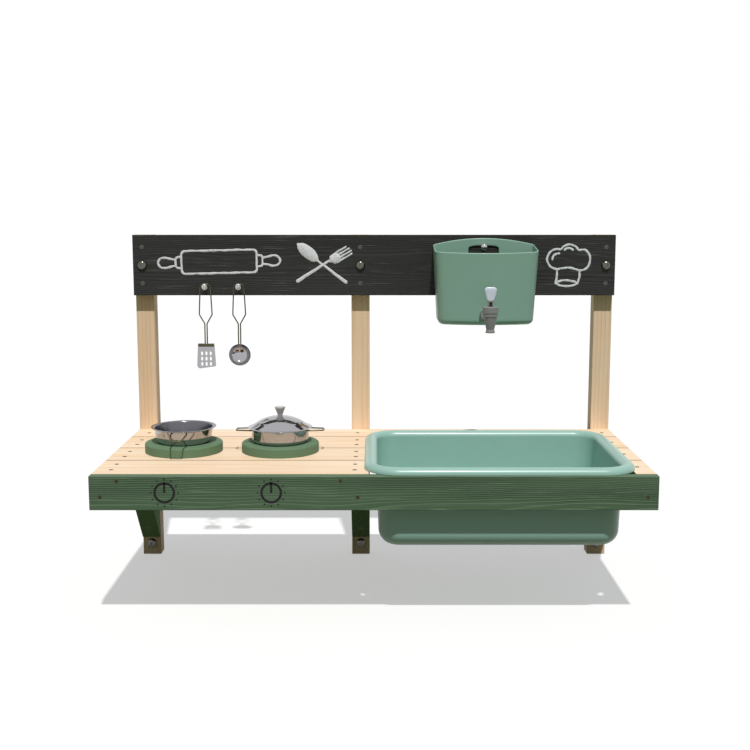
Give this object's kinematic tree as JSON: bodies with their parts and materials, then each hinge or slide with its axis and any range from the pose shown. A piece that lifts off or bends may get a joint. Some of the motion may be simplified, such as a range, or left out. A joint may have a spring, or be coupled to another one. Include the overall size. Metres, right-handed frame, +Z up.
{
  "type": "mud kitchen",
  "caption": "Wall-hung wooden mud kitchen: slatted worktop with a lift-out tub, hobs, pan, lidded pot, hanging utensils and a water tank with a tap.",
  "frame": {"origin": "in the wall's plane, in the middle of the four outer wall bolts", "axes": "+X to the right along the worktop, +Y into the wall, +Z up"},
  "size_m": [1, 0.512, 0.6875],
  "materials": {
    "planed_pine": "bare planed softwood",
    "chalkboard_paint": "matt black stain on brushed softwood",
    "front_board_paint": "matt green stain on brushed softwood",
    "bracket_paint": "matt dark green stain on softwood",
    "hob_disc_paint": "satin green paint on wood",
    "galvanised_steel": "dull zinc plate",
    "zinc_screws": "yellow zinc plate",
    "stainless_steel": "polished stainless steel",
    "steel_wire": "polished steel wire",
    "green_tub_plastic": "smooth moulded polypropylene",
    "green_tank_plastic": "smooth moulded polypropylene",
    "grey_tap_plastic": "smooth moulded plastic",
    "blue_lever_plastic": "pale translucent plastic",
    "tap_rubber": "soft black rubber"
  },
  "bodies": {
    "frame": {"left_post": "planed_pine", "middle_post": "planed_pine", "right_post": "planed_pine", "slat_1": "planed_pine", "slat_2": "planed_pine", "slat_3": "planed_pine", "back_slat": "planed_pine", "end_slat_1": "planed_pine", "end_slat_2": "planed_pine", "end_slat_3": "planed_pine", "left_bearer": "planed_pine", "middle_bearer": "planed_pine", "right_bearer": "planed_pine", "chalkboard": "chalkboard_paint", "front_board": "front_board_paint", "left_bracket": "bracket_paint", "middle_bracket": "bracket_paint", "right_bracket": "bracket_paint", "left_hob_disc": "hob_disc_paint", "right_hob_disc": "hob_disc_paint", "wall_bolts": "galvanised_steel", "board_screws": "zinc_screws", "slat_screws": "zinc_screws", "front_board_screws": "zinc_screws", "bracket_screws": "zinc_screws", "hob_screws": "zinc_screws", "bearer_screws": "zinc_screws", "spatula_peg": "stainless_steel", "ladle_peg": "stainless_steel", "tank_peg": "stainless_steel"},
    "tub_body": {"tub": "green_tub_plastic"},
    "pan": {"pan_dish": "stainless_steel", "pan_front_handle": "steel_wire", "pan_back_handle": "steel_wire"},
    "pot": {"pot_dish": "stainless_steel", "pot_left_handle": "steel_wire", "pot_right_handle": "steel_wire"},
    "lid": {"pot_lid": "stainless_steel", "lid_knob": "stainless_steel", "lid_screw": "zinc_screws"},
    "spatula": {"spatula_wire": "steel_wire", "spatula_blade": "stainless_steel"},
    "ladle": {"ladle_wire": "steel_wire", "ladle_bowl": "stainless_steel"},
    "tank": {"water_tank": "green_tank_plastic", "tap_body": "grey_tap_plastic", "tap_cap": "grey_tap_plastic", "tap_nut": "grey_tap_plastic", "outer_tap_seal": "tap_rubber", "inner_tap_seal": "tap_rubber"},
    "valve": {"valve_rod": "stainless_steel", "valve_seal": "tap_rubber"},
    "lever": {"tap_lever": "blue_lever_plastic", "lever_pin": "stainless_steel"}
  },
  "joints": [
    {"name": "tub_lift", "type": "slide", "parent": "frame", "child": "tub_body", "axis": [0, 0, 1], "range_m": [0, 0.2]},
    {"name": "pan_lift", "type": "slide", "parent": "frame", "child": "pan", "axis": [0, 0, 1], "range_m": [0, 0.15]},
    {"name": "pot_lift", "type": "slide", "parent": "frame", "child": "pot", "axis": [0, 0, 1], "range_m": [0, 0.15]},
    {"name": "lid_lift", "type": "slide", "parent": "pot", "child": "lid", "axis": [0, 0, 1], "range_m": [0, 0.15]},
    {"name": "spatula_swing", "type": "hinge", "parent": "frame", "child": "spatula", "pos_m": [-0.3495, -0.0675, 0.2575], "axis": [0, -1, 0], "range_deg": [-25, 10]},
    {"name": "ladle_swing", "type": "hinge", "parent": "frame", "child": "ladle", "pos_m": [-0.28, -0.0675, 0.2575], "axis": [0, -1, 0], "range_deg": [-10, 25]},
    {"name": "tank_lift", "type": "slide", "parent": "frame", "child": "tank", "axis": [0, -0.8575, 0.5145], "range_m": [0, 0.15]},
    {"name": "valve_slide", "type": "slide", "parent": "tank", "child": "valve", "axis": [0, 0, 1], "range_m": [0, 0.0026]},
    {"name": "lever_tilt", "type": "hinge", "parent": "valve", "child": "lever", "pos_m": [0.2265, -0.2137, 0.232], "axis": [1, 0, 0], "range_deg": [0, 40], "stiffness_Nm_per_rad": 0.05}
  ],
  "couplings": [
    {"joint": "valve_slide", "follows": "lever_tilt", "m_per_rad": 0.0036}
  ]
}
